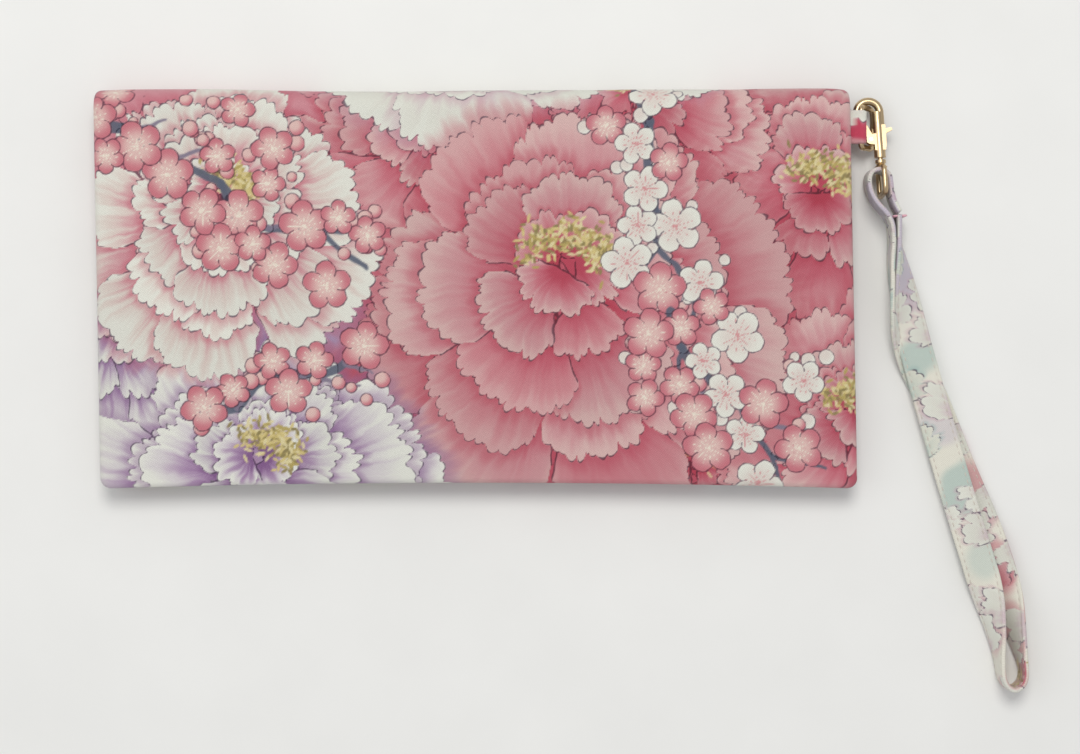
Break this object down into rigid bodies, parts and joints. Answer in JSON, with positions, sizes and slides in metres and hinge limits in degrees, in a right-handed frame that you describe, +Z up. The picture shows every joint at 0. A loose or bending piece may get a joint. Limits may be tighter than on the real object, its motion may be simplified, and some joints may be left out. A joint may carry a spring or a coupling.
{
  "type": "wristlet wallet",
  "caption": "Fold-over fabric wristlet wallet with zipped coin pocket, card pockets, magnetic snap, side tab, D-ring, swivel snap hook and wrist strap.",
  "frame": {"origin": "middle of the back face that the closed wallet rests on", "axes": "+X along the width, towards the side tab; +Y towards the fold; +Z up through the flap"},
  "size_m": [0.2609, 0.1674, 0.0132],
  "materials": {
    "printed_fabric": "matte",
    "strap_fabric": "matte",
    "thread": "satin",
    "lining_fabric": "matte",
    "card_pocket_fabric": "matte",
    "zip_tape": "matte",
    "gold_metal": "polished",
    "spring_steel": "satin",
    "magnet": "satin"
  },
  "bodies": {
    "root": {"back_shell": "printed_fabric", "back_lining": "lining_fabric", "note_pocket_gusset": "lining_fabric", "coin_pocket_back": "lining_fabric", "coin_pocket_gusset": "lining_fabric", "coin_panel_lower": "lining_fabric", "coin_panel_upper": "lining_fabric", "zip_tape_lower": "zip_tape", "zip_tape_upper": "zip_tape", "zip_teeth_lower": "gold_metal", "zip_teeth_upper": "gold_metal", "zip_stops": "gold_metal", "snap_cup": "gold_metal", "snap_magnet": "magnet", "side_tab": "printed_fabric", "tab_stitches": "thread"},
    "spine": {"spine_shell": "printed_fabric"},
    "flap": {"flap_shell": "printed_fabric", "flap_lining": "lining_fabric", "card_pocket_left_1": "card_pocket_fabric", "card_pocket_right_1": "card_pocket_fabric", "card_pocket_left_2": "card_pocket_fabric", "card_pocket_right_2": "card_pocket_fabric", "card_pocket_left_3": "card_pocket_fabric", "card_pocket_right_3": "card_pocket_fabric", "snap_stud": "gold_metal"},
    "slider": {"zip_slider": "gold_metal"},
    "pull": {"zip_pull": "gold_metal"},
    "ring": {"d_ring": "gold_metal"},
    "hook": {"hook_body": "gold_metal", "gate_pin": "gold_metal", "gate_spring": "spring_steel"},
    "gate": {"hook_gate": "gold_metal"},
    "swivel": {"swivel_loop": "gold_metal"},
    "strap": {"strap_head": "strap_fabric", "strap_bar_tack": "thread", "strap_upper": "strap_fabric", "strap_lower": "strap_fabric", "strap_tail": "strap_fabric"}
  },
  "joints": [
    {"name": "spine_fold", "type": "hinge", "parent": "root", "child": "spine", "pos_m": [0, 0.0541, 0.0014], "axis": [-1, 0, 0], "range_deg": [0, 90]},
    {"name": "flap_fold", "type": "hinge", "parent": "spine", "child": "flap", "pos_m": [0, 0.0541, 0.0116], "axis": [-1, 0, 0], "range_deg": [0, 90]},
    {"name": "zip_slider_travel", "type": "slide", "parent": "root", "child": "slider", "axis": [1, 0, 0], "range_m": [0, 0.156]},
    {"name": "zip_pull_swing", "type": "hinge", "parent": "slider", "child": "pull", "pos_m": [-0.0778, 0.038, 0.0084], "axis": [0, 0, 1], "range_deg": [-20, 20]},
    {"name": "ring_swing", "type": "hinge", "parent": "root", "child": "ring", "pos_m": [0.1071, 0.0448, 0.0086], "axis": [0, 1, 0], "range_deg": [-45, 0]},
    {"name": "hook_swing", "type": "hinge", "parent": "ring", "child": "hook", "pos_m": [0.10932, 0.0504, 0.00527], "axis": [0.5548, 0, -0.832], "range_deg": [-30, 0]},
    {"name": "gate_open", "type": "hinge", "parent": "hook", "child": "gate", "pos_m": [0.11015, 0.04154, 0.00584], "axis": [-0.0045, 0.0696, 0.9976], "range_deg": [-20, 0], "stiffness_Nm_per_rad": 0.004, "springref_deg": 11.46},
    {"name": "swivel_spin", "type": "hinge", "parent": "hook", "child": "swivel", "pos_m": [0.11272, 0.03741, 0.00614], "axis": [0.0644, -0.9955, 0.0698], "range_deg": [-90, 180]},
    {"name": "strap_swing", "type": "hinge", "parent": "swivel", "child": "strap", "pos_m": [0.11344, 0.02616, 0.00693], "axis": [-0.0045, 0.0696, 0.9976], "range_deg": [-12, 30]}
  ],
  "couplings": [
    {"joint": "flap_fold", "follows": "spine_fold", "ratio": 1}
  ]
}
